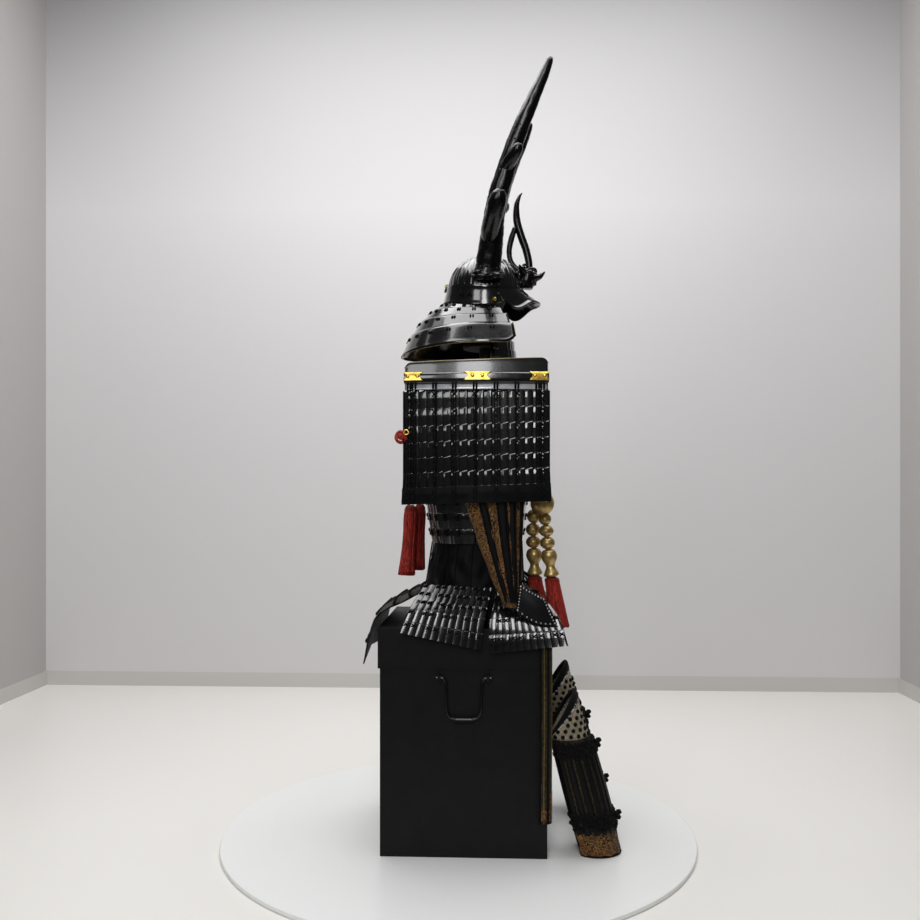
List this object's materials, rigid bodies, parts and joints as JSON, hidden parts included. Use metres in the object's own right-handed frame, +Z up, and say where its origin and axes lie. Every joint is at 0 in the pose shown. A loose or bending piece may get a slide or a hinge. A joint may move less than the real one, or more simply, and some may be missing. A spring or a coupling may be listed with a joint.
{
  "type": "samurai armour on its armour chest",
  "caption": "Full suit of Japanese lamellar armour with horned helmet, set out hollow on a plain stand over its lidded storage chest",
  "frame": {"origin": "centre of the armour chest's bottom face, on the floor", "axes": "+Z up, the suit faces -Y and its right side is towards -X"},
  "size_m": [0.6304, 0.6625, 1.9872],
  "materials": {
    "black_lacquer": "gloss",
    "chest_lacquer": "satin lacquer",
    "black_horn": "gloss",
    "plain_wood": "plain",
    "black_cloth": "satin cloth",
    "brocade": "woven",
    "quilting": "woven",
    "red_silk": "silk",
    "satin_gold_beads": "satin gold paint",
    "gilt_metal": "gilt"
  },
  "bodies": {
    "suit_and_chest": {"antler_left": "black_horn", "antler_right": "black_horn", "back_plate": "black_lacquer", "bead_ball": "satin_gold_beads", "bead_loop": "satin_gold_beads", "bead_strand_1": "satin_gold_beads", "bead_strand_2": "satin_gold_beads", "bead_tassel_1": "red_silk", "bead_tassel_2": "red_silk", "chest_body": "chest_lacquer", "chest_lid": "chest_lacquer", "chest_plate": "chest_lacquer", "crest_beast": "black_horn", "do_back": "black_lacquer", "do_front": "black_lacquer", "haidate_left": "brocade", "haidate_right": "brocade", "hand_plate_left": "black_lacquer", "hand_plate_right": "black_lacquer", "helmet_band": "black_lacquer", "helmet_bowl": "black_lacquer", "helmet_crown": "gilt_metal", "helmet_peak": "black_lacquer", "knee_guard_left": "quilting", "knee_guard_right": "quilting", "kote_sleeve_left": "brocade", "kote_sleeve_right": "brocade", "neck_guard_1": "black_lacquer", "neck_guard_2": "black_lacquer", "neck_guard_3": "black_lacquer", "neck_guard_4": "black_lacquer", "rear_bow": "red_silk", "rear_eye": "gilt_metal", "rear_tassel_1": "red_silk", "rear_tassel_2": "red_silk", "shoulder_strap_left": "black_lacquer", "shoulder_strap_right": "black_lacquer", "sode_bar_left": "black_lacquer", "sode_bar_right": "black_lacquer", "sode_panel_left": "black_lacquer", "sode_panel_right": "black_lacquer", "sode_top_plate_left": "black_lacquer", "sode_top_plate_right": "black_lacquer", "stand": "plain_wood", "suneate_left": "brocade", "suneate_right": "brocade", "tasset_back_left": "black_lacquer", "tasset_back_right": "black_lacquer", "tasset_front": "black_lacquer", "tasset_front_side_left": "black_lacquer", "tasset_front_side_right": "black_lacquer", "tasset_side_left": "black_lacquer", "tasset_side_right": "black_lacquer", "throat_guard": "black_lacquer", "waist_cloth": "black_cloth"},
    "bail_right": {"bail_right": "chest_lacquer"},
    "bail_left": {"bail_left": "chest_lacquer"},
    "rear_ring": {"rear_ring": "gilt_metal"}
  },
  "joints": [
    {"name": "bail_right_hinge", "type": "hinge", "parent": "suit_and_chest", "child": "bail_right", "pos_m": [-0.217, 0, 0.448], "axis": [0, 1, 0], "range_deg": [0, 90]},
    {"name": "bail_left_hinge", "type": "hinge", "parent": "suit_and_chest", "child": "bail_left", "pos_m": [0.217, 0, 0.448], "axis": [0, -1, 0], "range_deg": [0, 90]},
    {"name": "rear_ring_hinge", "type": "hinge", "parent": "suit_and_chest", "child": "rear_ring", "pos_m": [0, 0.0525, 1.4648], "axis": [1, 0, 0], "range_deg": [0, 60]}
  ]
}
